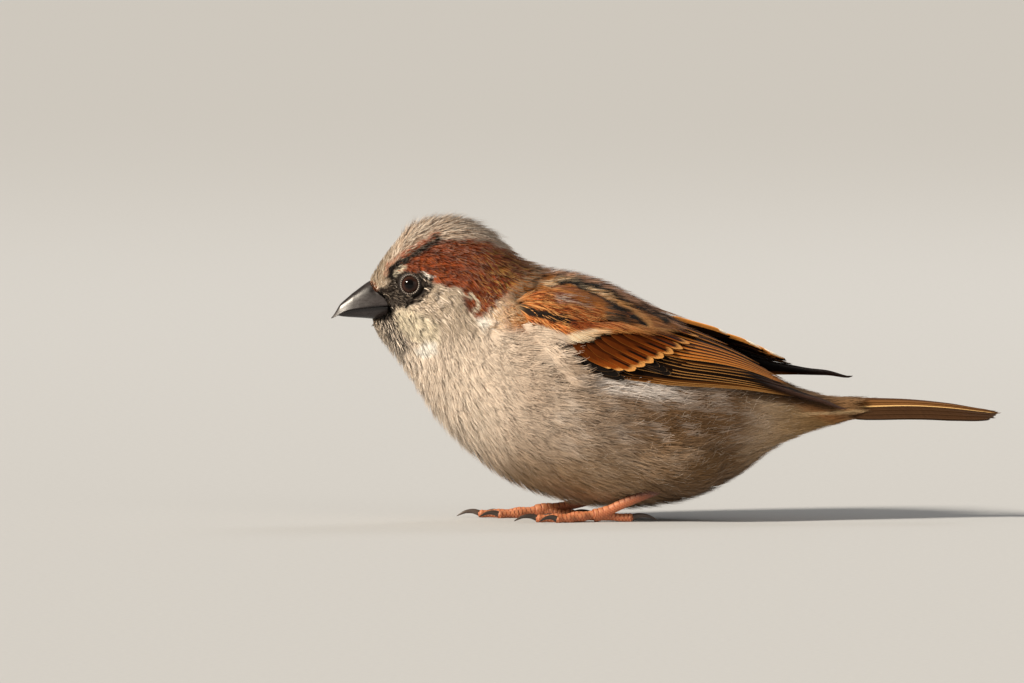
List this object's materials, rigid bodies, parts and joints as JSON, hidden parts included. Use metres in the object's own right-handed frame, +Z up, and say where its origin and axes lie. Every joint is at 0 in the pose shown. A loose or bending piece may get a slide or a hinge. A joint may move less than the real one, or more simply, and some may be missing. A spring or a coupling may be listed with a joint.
{
  "type": "house sparrow",
  "caption": "Life-size still model of an adult male small seed-eating songbird, standing with bent legs, wings folded and tail closed",
  "frame": {"origin": "on the ground the feet stand on, under the middle of the length from bill tip to tail tip", "axes": "+Z up, +X from the bill towards the tail, +Y towards the bird's right side, so the bird faces -X"},
  "size_m": [0.1483, 0.0452, 0.068],
  "materials": {
    "head_plumage": "short soft feathers, warm grey crown, chestnut sides and nape, pale grey cheeks, black mask and bib",
    "breast_plumage": "loose hair-like body feathers, pale greyish buff, warmer on the belly",
    "wing_coverts": "overlapping rufous feathers with dark centres, buff fringes and one white bar",
    "flight_feathers": "smooth dark brown vanes with fine rufous and buff edges",
    "tail_feathers": "smooth brown vanes with narrow buff edges",
    "bill_horn": "smooth blackish horn with a soft sheen",
    "eye": "wet clear cornea over a dark brown iris and black pupil",
    "leg_scutes": "orange-pink horny scales in overlapping rings",
    "claws": "dark grey-brown horn, smooth and slightly glossy"
  },
  "bodies": {
    "root": {"head": "head_plumage", "neck": "head_plumage", "breast": "breast_plumage", "trunk": "breast_plumage", "rump": "breast_plumage", "thigh_left": "breast_plumage", "thigh_right": "breast_plumage", "wing_coverts_left": "wing_coverts", "wing_coverts_right": "wing_coverts", "wing_secondaries_left": "flight_feathers", "wing_secondaries_right": "flight_feathers", "wing_primaries_left": "flight_feathers", "wing_primaries_right": "flight_feathers", "tail_centre": "tail_feathers", "tail_inner_left": "tail_feathers", "tail_inner_right": "tail_feathers", "tail_middle_left": "tail_feathers", "tail_middle_right": "tail_feathers", "tail_outer_left": "tail_feathers", "tail_outer_right": "tail_feathers", "bill_upper": "bill_horn", "bill_lower": "bill_horn", "eye_left": "eye", "eye_right": "eye", "tarsus_left": "leg_scutes", "tarsus_right": "leg_scutes", "middle_toe_left": "leg_scutes", "middle_toe_right": "leg_scutes", "inner_toe_left": "leg_scutes", "inner_toe_right": "leg_scutes", "outer_toe_left": "leg_scutes", "outer_toe_right": "leg_scutes", "hind_toe_left": "leg_scutes", "hind_toe_right": "leg_scutes", "middle_toe_claw_left": "claws", "middle_toe_claw_right": "claws", "inner_toe_claw_left": "claws", "inner_toe_claw_right": "claws", "outer_toe_claw_left": "claws", "outer_toe_claw_right": "claws", "hind_toe_claw_left": "claws", "hind_toe_claw_right": "claws"}
  },
  "joints": []
}
